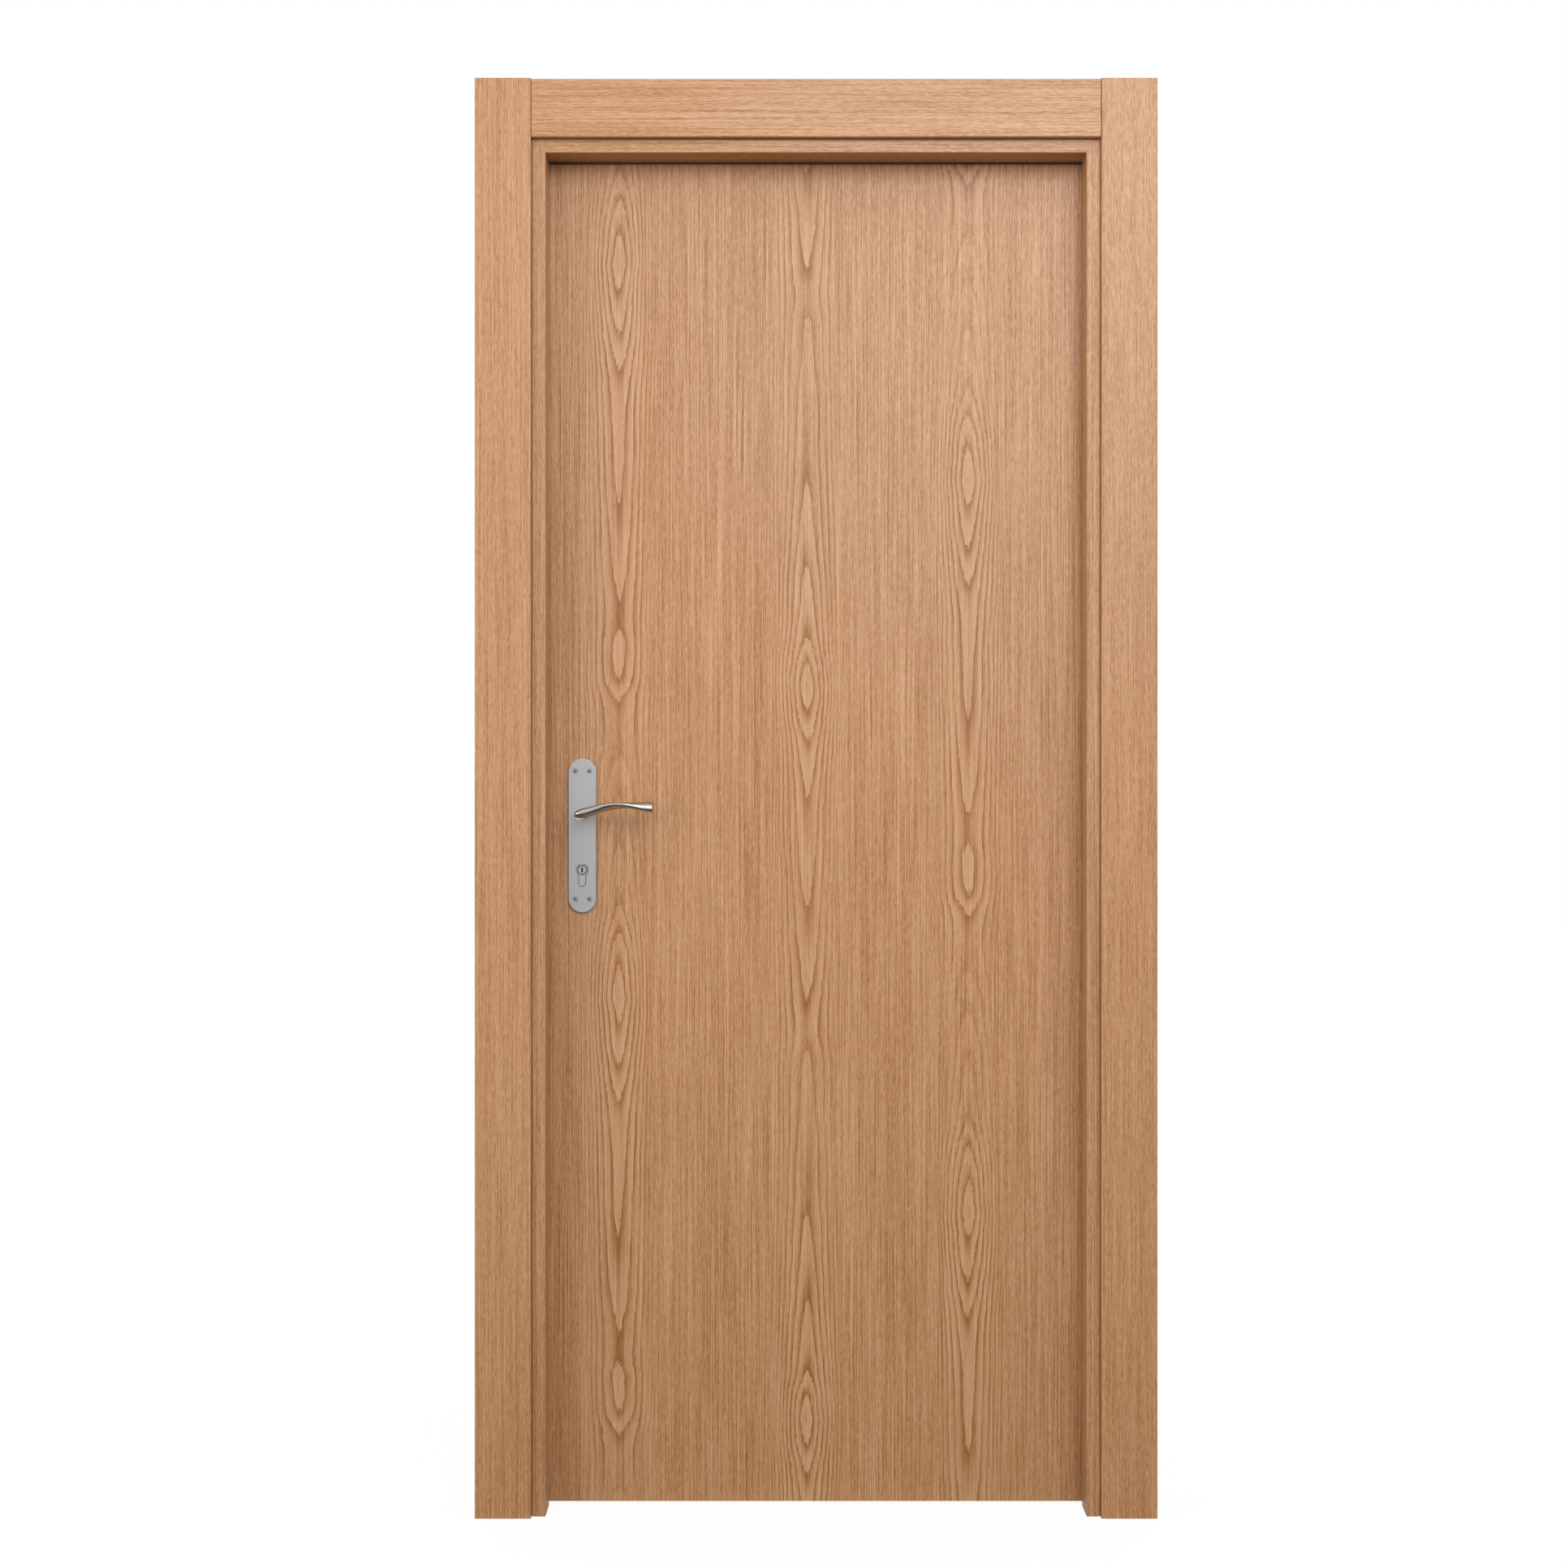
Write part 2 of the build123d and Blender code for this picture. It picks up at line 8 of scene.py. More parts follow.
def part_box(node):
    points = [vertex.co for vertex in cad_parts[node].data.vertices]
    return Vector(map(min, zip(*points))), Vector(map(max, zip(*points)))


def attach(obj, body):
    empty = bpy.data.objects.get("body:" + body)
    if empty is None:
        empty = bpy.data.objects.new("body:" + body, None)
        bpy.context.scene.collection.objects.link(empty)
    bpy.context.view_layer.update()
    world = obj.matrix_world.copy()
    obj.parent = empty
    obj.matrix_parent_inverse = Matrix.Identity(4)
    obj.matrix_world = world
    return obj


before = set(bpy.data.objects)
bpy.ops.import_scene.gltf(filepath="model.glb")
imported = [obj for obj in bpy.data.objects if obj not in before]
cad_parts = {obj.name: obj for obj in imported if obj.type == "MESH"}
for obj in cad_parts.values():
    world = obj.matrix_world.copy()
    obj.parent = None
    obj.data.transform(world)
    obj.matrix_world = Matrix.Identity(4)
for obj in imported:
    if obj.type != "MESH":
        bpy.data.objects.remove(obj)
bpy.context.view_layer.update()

bl_info = {
    "name": "Front door dresser",
    "version": (1, 0, 0),
    "blender": (4, 5, 0),
    "location": "3D View > Sidebar > Front door",
    "description": "Gives a flush oak front door its veneer, timber, metal finishes and screws",
    "category": "Object",
}

MM = 0.001

# The leaf's two faces, and the timber round them by the way its grain runs
SKINS = ("outer_skin", "inner_skin")
UPRIGHTS = (
    "hinge_jamb", "lock_jamb", "hinge_lipping", "lock_lipping",
    "outer_hinge_architrave", "outer_lock_architrave",
    "inner_hinge_architrave", "inner_lock_architrave",
)
CROSSPIECES = ("head_jamb", "outer_head_architrave", "inner_head_architrave")
CORE_PIECES = ("core_board", "bottom_rail", "top_rail")
SEALS = ("hinge_seal", "lock_seal", "head_seal")
PLATES = ("outer_plate", "inner_plate")
LEVERS = ("outer_lever", "inner_lever")
PLUGS = ("outer_plug", "inner_plug")
HINGE_HALVES = (
    "bottom_hinge_frame_half", "middle_hinge_frame_half", "top_hinge_frame_half",
    "bottom_hinge_leaf_half", "middle_hinge_leaf_half", "top_hinge_leaf_half",
)
LOCK_PIECES = ("strike_plate", "forend", "latch_bolt", "dead_bolt", "lock_case", "spindle")

# Heart lines of the veneer's three figures: their place across the door and the height of one eye
FIGURES = (
    ("flame", -0.7395, 1.874),
    ("double", -0.4552, 1.238),
    ("flame", -0.2115, 1.549),
)
# Growth rings counted down a heart line, from one eye to the next, as (millimetres down, rings)
RINGS_DOWN = {
    "flame": (
        (0, 0.45), (36, 1.0), (101, 2.0), (157, 3.0), (200, 3.45), (359, 4.0), (440, 4.5), (525, 5.05),
        (550, 5.0), (572, 4.72), (600, 4.76), (625, 5.0), (660, 6.0), (700, 6.25), (770, 5.5), (860, 4.2),
        (967, 3.0), (1010, 2.0), (1060, 1.0), (1108, 0.45),
    ),
    "double": (
        (0, 0.45), (37, 1.0), (83, 2.0), (169, 3.0), (260, 3.5), (336, 4.0), (376, 4.3), (475, 5.0),
        (520, 5.3), (560, 4.9), (640, 4.6), (687, 4.3), (798, 4.0), (927, 3.0), (1035, 2.0), (1073, 1.0),
        (1108, 0.45),
    ),
}
# How clearly the rings stand out down a heart line, as (millimetres down, clarity)
CLARITY_DOWN = {
    "flame": (
        (0, 1.0), (180, 1.0), (300, 0.75), (500, 0.8), (640, 0.9), (730, 0.35), (930, 0.35), (1000, 0.75),
        (1108, 1.0),
    ),
    "double": (
        (0, 1.0), (100, 1.0), (200, 0.7), (320, 0.6), (475, 0.9), (580, 0.5), (700, 0.6), (900, 0.85),
        (1108, 1.0),
    ),
}
FIGURE_REPEAT = 1108 * MM
RING_COUNT_TOP = 8.0

# Strength of the fine streaks: sawn boards are quieter than the sliced veneer
VENEER_CONTRAST = 1.4
BOARD_CONTRAST = 1.05
LACQUER_IOR = 1.6

FLOOR_RADIUS = 14.0
LAMP_TARGET = Vector((-0.45, 0.0, 1.15))
KEY_PLACE = (0.36, -2.8, 2.8)
SIDE_PLACE = (-3.3, -2.0, 1.5)
CAMERA_PLACE = (-0.49015, -3.2865, 1.0895)


def linear(code):
    """Linear red, green and blue of an sRGB hex colour."""
    channels = (int(code[i:i + 2], 16) / 255 for i in (1, 3, 5))
    return tuple(c / 12.92 if c <= 0.04045 else ((c + 0.055) / 1.055) ** 2.4 for c in channels)


def add(tree, kind, links=None, **settings):
    """A new node with its options set and its inputs linked or given a value."""
    node = tree.nodes.new(kind)
    for name, value in settings.items():
        setattr(node, name, value)
    for key, value in (links or {}).items():
        if isinstance(value, bpy.types.NodeSocket):
            tree.links.new(value, node.inputs[key])
        else:
            node.inputs[key].default_value = value
    return node


def start_material(name, **surface):
    """A new material with its shader's constant inputs set; returns it with its tree and shader."""
    material = bpy.data.materials.new(name)
    material.use_nodes = True
    tree = material.node_tree
    tree.nodes.clear()
    shader = add(tree, "ShaderNodeBsdfPrincipled", surface)
    add(tree, "ShaderNodeOutputMaterial", {"Surface": shader.outputs["BSDF"]})
    return material, tree, shader


def dress(material, nodes):
    """Give every slot of these pieces one material."""
    for name in nodes:
        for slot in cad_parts[name].material_slots:
            slot.material = material


class OakColours(bpy.types.PropertyGroup):
    """Colours of the oak, from its dark ring lines to its palest wood"""
    ring_line: bpy.props.FloatVectorProperty(
        name="Ring line", description="Dark edge of a growth ring and deep pores", subtype="COLOR",
        size=3, min=0, max=1, default=linear("#8F581A"))
    late_wood: bpy.props.FloatVectorProperty(
        name="Late wood", description="Brown wood beside a ring line", subtype="COLOR",
        size=3, min=0, max=1, default=linear("#A57241"))
    mid_wood: bpy.props.FloatVectorProperty(
        name="Mid wood", description="Colour over most of the timber", subtype="COLOR",
        size=3, min=0, max=1, default=linear("#BA885C"))
    early_wood: bpy.props.FloatVectorProperty(
        name="Early wood", description="Palest wood, within the eyes and between streaks", subtype="COLOR",
        size=3, min=0, max=1, default=linear("#D0A279"))
    core_wood: bpy.props.FloatVectorProperty(
        name="Core wood", description="Pressed wood inside the leaf", subtype="COLOR",
        size=3, min=0, max=1, default=linear("#C9A878"))


class GrainSizes(bpy.types.PropertyGroup):
    """Sizes of the oak's grain and figure"""
    pore_width: bpy.props.FloatProperty(
        name="Pore width", description="Width of the finest streaks", unit="LENGTH", default=0.9 * MM)
    pore_length: bpy.props.FloatProperty(
        name="Pore length", description="Length of the finest streaks", unit="LENGTH", default=9 * MM)
    streak_width: bpy.props.FloatProperty(
        name="Streak width", description="Width of the grain's streaks", unit="LENGTH", default=1.3 * MM)
    streak_length: bpy.props.FloatProperty(
        name="Streak length", description="Length of the grain's streaks", unit="LENGTH", default=220 * MM)
    band_width: bpy.props.FloatProperty(
        name="Band width", description="Width of the broad pale and brown bands", unit="LENGTH",
        default=13 * MM)
    band_length: bpy.props.FloatProperty(
        name="Band length", description="Length of the broad bands", unit="LENGTH", default=700 * MM)
    ring_spacing: bpy.props.FloatProperty(
        name="Ring spacing", description="Distance between rings beside the heart line", unit="LENGTH",
        default=8.0 * MM)
    figure_reach: bpy.props.FloatProperty(
        name="Figure reach", description="Distance from the heart line at which ring lines are lost",
        unit="LENGTH", default=58 * MM)


class MetalColours(bpy.types.PropertyGroup):
    """Colours of the metal finishes, and the near-black painted shade in the metal's hollows"""
    satin_aluminium: bpy.props.FloatVectorProperty(
        name="Satin aluminium", description="Backplates", subtype="COLOR",
        size=3, min=0, max=1, default=linear("#B6B7B6"))
    polished_nickel: bpy.props.FloatVectorProperty(
        name="Polished nickel", description="Levers", subtype="COLOR",
        size=3, min=0, max=1, default=linear("#B9B6B1"))
    nickel_brass: bpy.props.FloatVectorProperty(
        name="Nickel-plated brass", description="Lock cylinder and its plugs", subtype="COLOR",
        size=3, min=0, max=1, default=linear("#B6B6B4"))
    satin_steel: bpy.props.FloatVectorProperty(
        name="Satin steel", description="Hinges, lock and strike plate", subtype="COLOR",
        size=3, min=0, max=1, default=linear("#A9A9A8"))
    screw_steel: bpy.props.FloatVectorProperty(
        name="Screw steel", description="Tops of the countersunk screws", subtype="COLOR",
        size=3, min=0, max=1, default=linear("#B8B8B6"))
    # Painted shade: near-black put on the screw recesses and cones, the keyway wards and the ring round
    # each plug, standing in for the shade there
    painted_shade: bpy.props.FloatVectorProperty(
        name="Painted shade metal", description="Screw recesses and the wards in the keyways", subtype="COLOR",
        size=3, min=0, max=1, default=linear("#24221F"))


class ScrewSizes(bpy.types.PropertyGroup):
    """Sizes of the countersunk screws and their places on the plates"""
    head_radius: bpy.props.FloatProperty(
        name="Head radius", description="Radius of a screw head's flat top", unit="LENGTH",
        default=3.3 * MM)
    head_depth: bpy.props.FloatProperty(
        name="Head depth", description="Depth of the head's cone", unit="LENGTH", default=1.5 * MM)
    shank_length: bpy.props.FloatProperty(
        name="Shank length", description="Length of the shank drawn below the cone", unit="LENGTH",
        default=1.4 * MM)
    recess_depth: bpy.props.FloatProperty(
        name="Recess depth", description="Depth of the cross recess", unit="LENGTH", default=2.0 * MM)
    sunk: bpy.props.FloatProperty(
        name="Sunk", description="Depth of the head's top below the plate's face", unit="LENGTH",
        default=0.3 * MM)
    plate_spacing: bpy.props.FloatProperty(
        name="Plate spacing", description="Distance between the screws of a pair on a backplate",
        unit="LENGTH", default=21.3 * MM)
    plate_top: bpy.props.FloatProperty(
        name="Plate top", description="Upper pair's distance below a backplate's top", unit="LENGTH",
        default=19.4 * MM)
    plate_foot: bpy.props.FloatProperty(
        name="Plate foot", description="Lower pair's distance below a backplate's top", unit="LENGTH",
        default=213 * MM)
    strike_inset: bpy.props.FloatProperty(
        name="Strike inset", description="Screws' distance from the strike plate's ends", unit="LENGTH",
        default=12 * MM)
    forend_inset: bpy.props.FloatProperty(
        name="Forend inset", description="Screws' distance from the forend's ends", unit="LENGTH",
        default=10 * MM)
    hinge_plate: bpy.props.FloatProperty(
        name="Hinge plate", description="Thickness of a hinge plate", unit="LENGTH", default=3 * MM)
    hinge_middle: bpy.props.FloatProperty(
        name="Hinge middle", description="Screws' distance from a hinge plate's edge", unit="LENGTH",
        default=15 * MM)
    hinge_pitch: bpy.props.FloatProperty(
        name="Hinge pitch", description="Distance between a hinge plate's screws", unit="LENGTH",
        default=32 * MM)


class KeywaySizes(bpy.types.PropertyGroup):
    """Sizes of the near-black wards in each plug's keyway and of the dark ring round each plug, both
    painted shade
    """
    width: bpy.props.FloatProperty(
        name="Width", description="Width of the wards", unit="LENGTH", default=2.2 * MM)
    height: bpy.props.FloatProperty(
        name="Height", description="Height of the wards", unit="LENGTH", default=7.8 * MM)
    length: bpy.props.FloatProperty(
        name="Length", description="Length of the wards along the plug", unit="LENGTH", default=3.4 * MM)
    sunk: bpy.props.FloatProperty(
        name="Sunk", description="Depth of the wards behind the plug's face", unit="LENGTH",
        default=0.5 * MM)
    groove_width: bpy.props.FloatProperty(
        name="Groove width", description="Width of the painted shade ring round a plug", unit="LENGTH",
        default=0.9 * MM)
    groove_depth: bpy.props.FloatProperty(
        name="Groove depth", description="Depth of that line behind the plug's face", unit="LENGTH",
        default=0.2 * MM)


class StageSettings(bpy.types.PropertyGroup):
    """Lamps, floor and background"""
    key_power: bpy.props.FloatProperty(
        name="Key power", description="Power of the large soft lamp above and before the door",
        subtype="POWER", default=39.0)
    side_power: bpy.props.FloatProperty(
        name="Side power", description="Power of the soft lamp on the lock side", subtype="POWER",
        default=23.0)
    fill: bpy.props.FloatProperty(
        name="Fill", description="Brightness of the even light from all round", default=1.17)
    floor_glow: bpy.props.FloatProperty(
        name="Floor glow", description="Share of the floor's white that no shadow takes away",
        subtype="FACTOR", min=0, max=1, default=0.8)
    floor_colour: bpy.props.FloatVectorProperty(
        name="Floor colour", description="Plain pale floor", subtype="COLOR",
        size=3, min=0, max=1, default=linear("#808080"))
    front_shade: bpy.props.FloatProperty(
        name="Front shade", description="Brightness, in mirrors, of the floor close before the door",
        subtype="FACTOR", min=0, max=1, default=0.07)


def grain_value(tree, across, depth, along, grain, shift, contrast):
    """Straight grain: short crisp pores over fine streaks of this contrast and broad bands; returns its
    value and the pores alone."""
    place = add(tree, "ShaderNodeCombineXYZ", {"X": across, "Y": depth, "Z": along}).outputs["Vector"]
    pore_place = add(tree, "ShaderNodeMapping", {
        "Vector": place,
        "Location": shift,
        "Scale": (1 / grain.pore_width, 1 / grain.pore_width, 1 / grain.pore_length),
    }).outputs["Vector"]
    pores = add(tree, "ShaderNodeTexVoronoi", {"Vector": pore_place, "Scale": 1.0}).outputs["Color"]
    pores = add(tree, "ShaderNodeRGBToBW", {"Color": pores}).outputs["Val"]
    value = add(tree, "ShaderNodeMath", {0: pores, 1: 0.5, 2: 0.25}, operation="MULTIPLY_ADD").outputs[0]
    streaks = (
        (grain.streak_width, grain.streak_length, contrast),
        (grain.band_width, grain.band_length, 0.25),
    )
    for width, length, strength in streaks:
        stretched = add(tree, "ShaderNodeMapping", {
            "Vector": place,
            "Location": shift,
            "Scale": (1 / width, 1 / width, 1 / length),
        }).outputs["Vector"]
        noise = add(tree, "ShaderNodeTexNoise", {
            "Vector": stretched, "Scale": 1.0, "Detail": 1.0, "Roughness": 0.5,
        }).outputs["Fac"]
        part = add(tree, "ShaderNodeMath", {0: noise, 1: strength, 2: -0.5 * strength},
                   operation="MULTIPLY_ADD").outputs[0]
        value = add(tree, "ShaderNodeMath", {0: value, 1: part}, operation="ADD").outputs[0]
    return value, pores


def oak_surface(tree, shader, value, fine, colours):
    """Colour, satin lacquer and open pores from the grain's value."""
    ramp = add(tree, "ShaderNodeValToRGB", {"Fac": value})
    stops = ramp.color_ramp.elements
    stops[0].position = 0.0
    stops[0].color = (*colours.ring_line, 1)
    stops[1].position = 1.0
    stops[1].color = (*colours.early_wood, 1)
    for position, colour in ((0.3, colours.late_wood), (0.55, colours.mid_wood)):
        stops.new(position).color = (*colour, 1)
    tree.links.new(ramp.outputs["Color"], shader.inputs["Base Color"])
    rough = add(tree, "ShaderNodeMapRange", {
        "Value": fine, "From Min": 0.25, "From Max": 0.75, "To Min": 0.5, "To Max": 0.42,
    }).outputs["Result"]
    tree.links.new(rough, shader.inputs["Roughness"])
    bump = add(tree, "ShaderNodeBump", {"Height": value, "Strength": 0.12, "Distance": 0.3 * MM})
    tree.links.new(bump.outputs["Normal"], shader.inputs["Normal"])


def straight_oak(name, runs_across, shift, colours, grain):
    """Lacquered oak sawn along its length: fine brown streaks and short pores run with the board."""
    material, tree, shader = start_material(name, **{"IOR": LACQUER_IOR})
    place = add(tree, "ShaderNodeTexCoord").outputs["Object"]
    axes = add(tree, "ShaderNodeSeparateXYZ", {"Vector": place}).outputs
    across, along = (axes["Z"], axes["X"]) if runs_across else (axes["X"], axes["Z"])
    value, fine = grain_value(tree, across, axes["Y"], along, grain, shift, BOARD_CONTRAST)
    oak_surface(tree, shader, value, fine, colours)
    return material


def down_curve(tree, down, steps, top):
    """A curve read down a heart line, from (millimetres, height) steps; returns its height over top."""
    node = add(tree, "ShaderNodeFloatCurve", {"Value": down})
    points = node.mapping.curves[0].points
    places = [(mm * MM / FIGURE_REPEAT, height / top) for mm, height in steps]
    points[0].location = places[0]
    points[1].location = places[-1]
    for place in places[1:-1]:
        points.new(*place)
    node.mapping.update()
    return node.outputs["Value"]


def ring_count(tree, kind, heart_x, eye_z, x, z, grain):
    """Rings counted out from one heart line; returns the count, the distance from the line and how
    clearly the rings show there."""
    softness = 10 * MM
    heart_width = 40 * MM
    crowd_width = 32 * MM
    offset = add(tree, "ShaderNodeMath", {0: x, 1: heart_x}, operation="SUBTRACT").outputs[0]
    square = add(tree, "ShaderNodeMath", {0: offset, 1: offset}, operation="MULTIPLY").outputs[0]
    far = add(tree, "ShaderNodeMath", {0: square, 1: softness ** 2}, operation="ADD").outputs[0]
    far = add(tree, "ShaderNodeMath", {0: far}, operation="SQRT").outputs[0]
    far = add(tree, "ShaderNodeMath", {0: far, 1: softness}, operation="SUBTRACT").outputs[0]

    down = add(tree, "ShaderNodeMath", {0: z, 1: -1 / FIGURE_REPEAT, 2: eye_z / FIGURE_REPEAT + 4},
               operation="MULTIPLY_ADD").outputs[0]
    down = add(tree, "ShaderNodeMath", {0: down}, operation="FRACT").outputs[0]
    rings = down_curve(tree, down, RINGS_DOWN[kind], RING_COUNT_TOP)
    clarity = down_curve(tree, down, CLARITY_DOWN[kind], 1.0)

    # The rings of the heart die out sideways, and far from it the rings crowd together
    fade = add(tree, "ShaderNodeMath", {0: square, 1: heart_width ** -2, 2: 1.0},
               operation="MULTIPLY_ADD").outputs[0]
    heart = add(tree, "ShaderNodeMath", {0: rings, 1: RING_COUNT_TOP}, operation="MULTIPLY").outputs[0]
    heart = add(tree, "ShaderNodeMath", {0: heart, 1: fade}, operation="DIVIDE").outputs[0]
    flank = add(tree, "ShaderNodeMath", {0: far, 1: 1 / grain.ring_spacing, 2: heart},
                operation="MULTIPLY_ADD").outputs[0]
    crowd = add(tree, "ShaderNodeMath", {0: square, 1: crowd_width ** -2, 2: flank},
                operation="MULTIPLY_ADD").outputs[0]
    return crowd, far, clarity


def figured_oak(name, colours, grain):
    """Crown-cut oak veneer under satin lacquer: three heart lines of pointed eyes and nested V shapes,
    each ring dark on its outer edge and paling outwards, with straight fine grain between them."""
    material, tree, shader = start_material(name, **{"IOR": LACQUER_IOR})
    place = add(tree, "ShaderNodeTexCoord").outputs["Object"]
    axes = add(tree, "ShaderNodeSeparateXYZ", {"Vector": place}).outputs
    value, fine = grain_value(
        tree, axes["X"], axes["Y"], axes["Z"], grain, (0.0, 0.0, 0.0), VENEER_CONTRAST)

    # The rings wander a few millimetres from side to side on their way up the leaf
    wander_reach = 10 * MM
    wander_place = add(tree, "ShaderNodeMapping", {
        "Vector": place, "Scale": (1 / (60 * MM), 1.0, 1 / (120 * MM)),
    }).outputs["Vector"]
    wander = add(tree, "ShaderNodeTexNoise", {
        "Vector": wander_place, "Scale": 1.0, "Detail": 3.0, "Roughness": 0.6,
    }).outputs["Fac"]
    x = add(tree, "ShaderNodeMath", {0: wander, 1: wander_reach, 2: axes["X"]},
            operation="MULTIPLY_ADD").outputs[0]
    x = add(tree, "ShaderNodeMath", {0: x, 1: wander_reach / 2}, operation="SUBTRACT").outputs[0]

    # Fibres draw each ring's pointed ends out into teeth along the grain
    tooth_length = 14 * MM
    z = add(tree, "ShaderNodeMath", {0: fine, 1: tooth_length, 2: axes["Z"]},
            operation="MULTIPLY_ADD").outputs[0]
    z = add(tree, "ShaderNodeMath", {0: z, 1: tooth_length / 2}, operation="SUBTRACT").outputs[0]

    count, far, clarity = ring_count(tree, *FIGURES[0], x, z, grain)
    for figure in FIGURES[1:]:
        this_count, this_far, this_clarity = ring_count(tree, *figure, x, z, grain)
        nearer = add(tree, "ShaderNodeMath", {0: this_far, 1: far}, operation="LESS_THAN").outputs[0]
        count = add(tree, "ShaderNodeMix", {"Factor": nearer, "A": count, "B": this_count},
                    data_type="FLOAT").outputs["Result"]
        clarity = add(tree, "ShaderNodeMix", {"Factor": nearer, "A": clarity, "B": this_clarity},
                      data_type="FLOAT").outputs["Result"]
        far = add(tree, "ShaderNodeMath", {0: this_far, 1: far}, operation="MINIMUM").outputs[0]

    # Each ring starts dark and pales outwards; along its way it is here stronger, there fainter
    within = add(tree, "ShaderNodeMath", {0: count}, operation="FRACT").outputs[0]
    edge = add(tree, "ShaderNodeMath", {0: 1.0, 1: within}, operation="SUBTRACT").outputs[0]
    edge = add(tree, "ShaderNodeMath", {0: edge, 1: 2.5}, operation="POWER").outputs[0]
    shown = add(tree, "ShaderNodeMapRange", {
        "Value": far, "From Min": 14 * MM, "From Max": grain.figure_reach, "To Min": 1.0, "To Max": 0.0,
    }, interpolation_type="SMOOTHSTEP").outputs["Result"]
    shown = add(tree, "ShaderNodeMath", {0: shown, 1: clarity}, operation="MULTIPLY").outputs[0]
    strength_place = add(tree, "ShaderNodeMapping", {
        "Vector": place, "Location": (3.0, 5.0, 7.0), "Scale": (1 / (22 * MM), 1.0, 1 / (90 * MM)),
    }).outputs["Vector"]
    strength = add(tree, "ShaderNodeTexNoise", {"Vector": strength_place, "Scale": 1.0}).outputs["Fac"]
    strength = add(tree, "ShaderNodeMapRange", {
        "Value": strength, "From Min": 0.3, "From Max": 0.7, "To Min": -0.6, "To Max": -1.0,
    }).outputs["Result"]
    pale = add(tree, "ShaderNodeMath", {0: edge, 1: strength, 2: 0.23},
               operation="MULTIPLY_ADD").outputs[0]
    figure = add(tree, "ShaderNodeMath", {0: pale, 1: shown}, operation="MULTIPLY").outputs[0]

    # Streaks are quieter where the rings show
    calm = add(tree, "ShaderNodeMapRange", {"Value": shown, "To Min": 1.0, "To Max": 0.6}).outputs["Result"]
    centred = add(tree, "ShaderNodeMath", {0: value, 1: 0.5}, operation="SUBTRACT").outputs[0]
    streaks = add(tree, "ShaderNodeMath", {0: centred, 1: calm, 2: 0.5},
                  operation="MULTIPLY_ADD").outputs[0]
    total = add(tree, "ShaderNodeMath", {0: streaks, 1: figure}, operation="ADD").outputs[0]
    oak_surface(tree, shader, total, fine, colours)
    return material


def grained_metal(name, colour, roughness, spread, grit, stretch):
    """Solid metal whose gloss varies over a fine grit, drawn coarse enough to show, stretched upright
    where it was brushed."""
    material, tree, shader = start_material(name, **{"Metallic": 1.0})
    place = add(tree, "ShaderNodeTexCoord").outputs["Object"]
    stretched = add(tree, "ShaderNodeMapping", {
        "Vector": place, "Scale": (1 / grit, 1 / grit, 1 / (grit * stretch)),
    }).outputs["Vector"]
    noise = add(tree, "ShaderNodeTexNoise", {
        "Vector": stretched, "Scale": 1.0, "Detail": 2.0, "Roughness": 0.6,
    }).outputs["Fac"]
    ramp = add(tree, "ShaderNodeValToRGB", {"Fac": noise})
    ramp.color_ramp.elements[0].color = (*(0.94 * c for c in colour), 1)
    ramp.color_ramp.elements[1].color = (*(min(1.0, 1.06 * c) for c in colour), 1)
    tree.links.new(ramp.outputs["Color"], shader.inputs["Base Color"])
    rough = add(tree, "ShaderNodeMapRange", {
        "Value": noise, "From Min": 0.25, "From Max": 0.75,
        "To Min": roughness - spread, "To Max": roughness + spread,
    }).outputs["Result"]
    tree.links.new(rough, shader.inputs["Roughness"])
    return material


def soft_rubber(name, colour):
    """Extruded brown seal rubber: dull, with a faint mottled bloom."""
    material, tree, shader = start_material(name, **{"IOR": 1.52, "Roughness": 0.75})
    place = add(tree, "ShaderNodeTexCoord").outputs["Object"]
    noise = add(tree, "ShaderNodeTexNoise", {
        "Vector": place, "Scale": 1 / (6 * MM), "Detail": 3.0,
    }).outputs["Fac"]
    ramp = add(tree, "ShaderNodeValToRGB", {"Fac": noise})
    ramp.color_ramp.elements[0].color = (*(0.7 * c for c in colour), 1)
    ramp.color_ramp.elements[1].color = (*(1.4 * c for c in colour), 1)
    tree.links.new(ramp.outputs["Color"], shader.inputs["Base Color"])
    return material


def core_timber(name, colours, grain):
    """Raw pressed wood inside the leaf: pale yellow with soft upright bands."""
    material, tree, shader = start_material(name, **{"IOR": 1.5, "Roughness": 0.8})
    place = add(tree, "ShaderNodeTexCoord").outputs["Object"]
    axes = add(tree, "ShaderNodeSeparateXYZ", {"Vector": place}).outputs
    value, _ = grain_value(
        tree, axes["X"], axes["Y"], axes["Z"], grain, (7.0, 3.0, 1.0), VENEER_CONTRAST)
    ramp = add(tree, "ShaderNodeValToRGB", {"Fac": value})
    ramp.color_ramp.elements[0].color = (*(0.75 * c for c in colours.core_wood), 1)
    ramp.color_ramp.elements[1].color = (*(min(1.0, 1.15 * c) for c in colours.core_wood), 1)
    tree.links.new(ramp.outputs["Color"], shader.inputs["Base Color"])
    return material


def grow(mesh, edges, scale, level):
    """Extrude a ring of edges to a new size and level; returns the new ring's edges."""
    made = bmesh.ops.extrude_edge_only(mesh, edges=edges)["geom"]
    ring = [v for v in made if isinstance(v, bmesh.types.BMVert)]
    for vert in ring:
        vert.co = Vector((vert.co.x * scale, vert.co.y * scale, level))
    ring = set(ring)
    return [e for e in made if isinstance(e, bmesh.types.BMEdge) and ring.issuperset(e.verts)]


